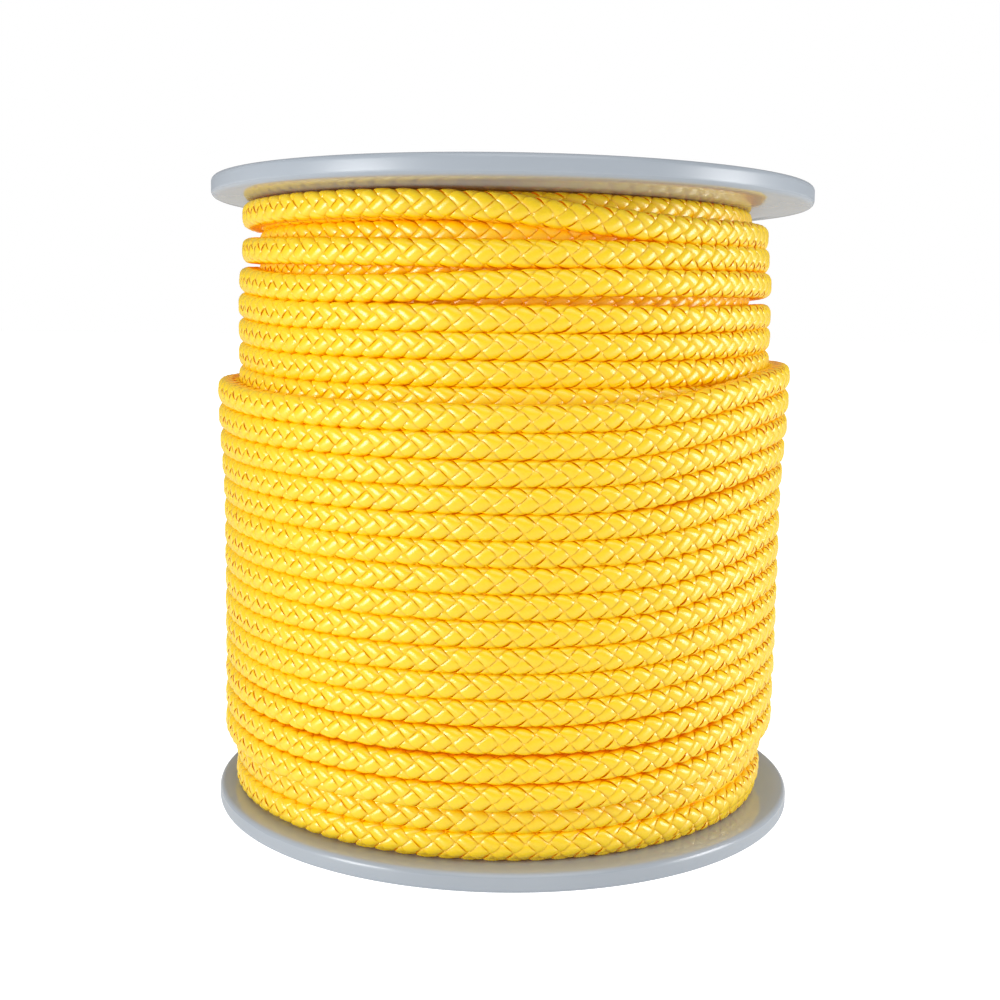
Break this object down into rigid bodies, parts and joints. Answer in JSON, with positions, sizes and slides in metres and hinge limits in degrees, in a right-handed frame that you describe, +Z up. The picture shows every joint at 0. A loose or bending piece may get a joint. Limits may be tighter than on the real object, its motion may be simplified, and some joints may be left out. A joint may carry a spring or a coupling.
{
  "type": "rope reel",
  "caption": "Light grey plastic two-flange reel, bolted together on a barrel tube, with bright yellow braided rope wound on it in level layers.",
  "frame": {"origin": "centre of the lower flange's rim plane, which the reel stands on", "axes": "+Z up along the reel's axis, from the lower flange to the upper flange"},
  "size_m": [0.2, 0.2, 0.21],
  "materials": {
    "flange_plastic": "satin light grey moulded plastic",
    "barrel_plastic": "matt grey plastic tube",
    "rope_fibre": "shiny yellow multifilament round braid",
    "bolt_steel": "bright zinc-plated steel",
    "washer_steel": "zinc-plated steel"
  },
  "bodies": {
    "root": {"lower_flange": "flange_plastic", "upper_flange": "flange_plastic", "barrel_tube": "barrel_plastic", "rope_full_layers": "rope_fibre", "rope_outer_layer": "rope_fibre", "tie_bolt_1": "bolt_steel", "head_washer_1": "washer_steel", "tie_nut_1": "bolt_steel", "nut_washer_1": "washer_steel", "tie_bolt_2": "bolt_steel", "head_washer_2": "washer_steel", "tie_nut_2": "bolt_steel", "nut_washer_2": "washer_steel", "tie_bolt_3": "bolt_steel", "head_washer_3": "washer_steel", "tie_nut_3": "bolt_steel", "nut_washer_3": "washer_steel", "tie_bolt_4": "bolt_steel", "head_washer_4": "washer_steel", "tie_nut_4": "bolt_steel", "nut_washer_4": "washer_steel"}
  },
  "joints": []
}
